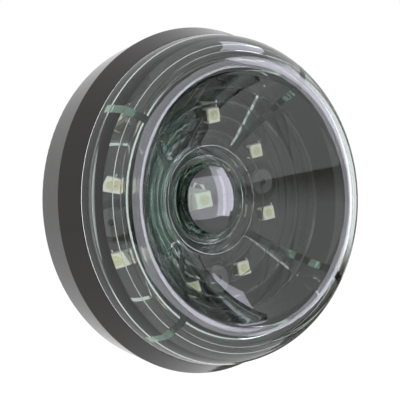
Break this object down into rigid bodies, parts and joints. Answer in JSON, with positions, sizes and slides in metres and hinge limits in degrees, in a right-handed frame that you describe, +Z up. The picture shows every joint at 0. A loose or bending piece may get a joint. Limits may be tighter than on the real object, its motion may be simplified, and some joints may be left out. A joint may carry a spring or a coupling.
{
  "type": "motorcycle tail light",
  "caption": "Round motorcycle tail light with a black cup housing and a clear bowl-shaped lens with a central bull's-eye, over a ring of diodes on a circuit board.",
  "frame": {"origin": "middle of the flat rear face, between the two tapped holes", "axes": "-Y the way the lamp shines, +Y out of the rear face, +Z up and +X to the right as seen from the front"},
  "size_m": [0.0844, 0.0285, 0.0844],
  "materials": {
    "housing_black": "gloss black coat on die-cast metal",
    "lens_clear": "clear moulded polycarbonate, faintly smoked",
    "seal_rubber": "soft black silicone",
    "board_black": "black solder mask with white print",
    "bezel_black": "satin black moulding",
    "screw_steel": "dull dark steel",
    "washer_black": "black fibre",
    "grommet_rubber": "soft black rubber",
    "led_cream": "cream diode package",
    "component_black": "black moulded package",
    "capacitor_tan": "tan ceramic",
    "connector_cream": "cream nylon"
  },
  "bodies": {
    "root": {"rear_housing": "housing_black", "lens": "lens_clear", "lens_seal": "seal_rubber", "circuit_board": "board_black", "bezel_ring": "bezel_black", "board_screws": "screw_steel", "screw_washers": "washer_black", "cable_grommet": "grommet_rubber", "driver_chip": "component_black", "protection_diode": "component_black", "input_capacitor": "capacitor_tan", "lead_connector": "connector_cream", "led_1": "led_cream", "led_2": "led_cream", "led_3": "led_cream", "led_4": "led_cream", "led_5": "led_cream", "led_6": "led_cream", "led_7": "led_cream", "led_8": "led_cream", "led_centre": "led_cream", "resistor_1": "component_black", "resistor_2": "component_black", "resistor_3": "component_black", "resistor_4": "component_black"}
  },
  "joints": []
}
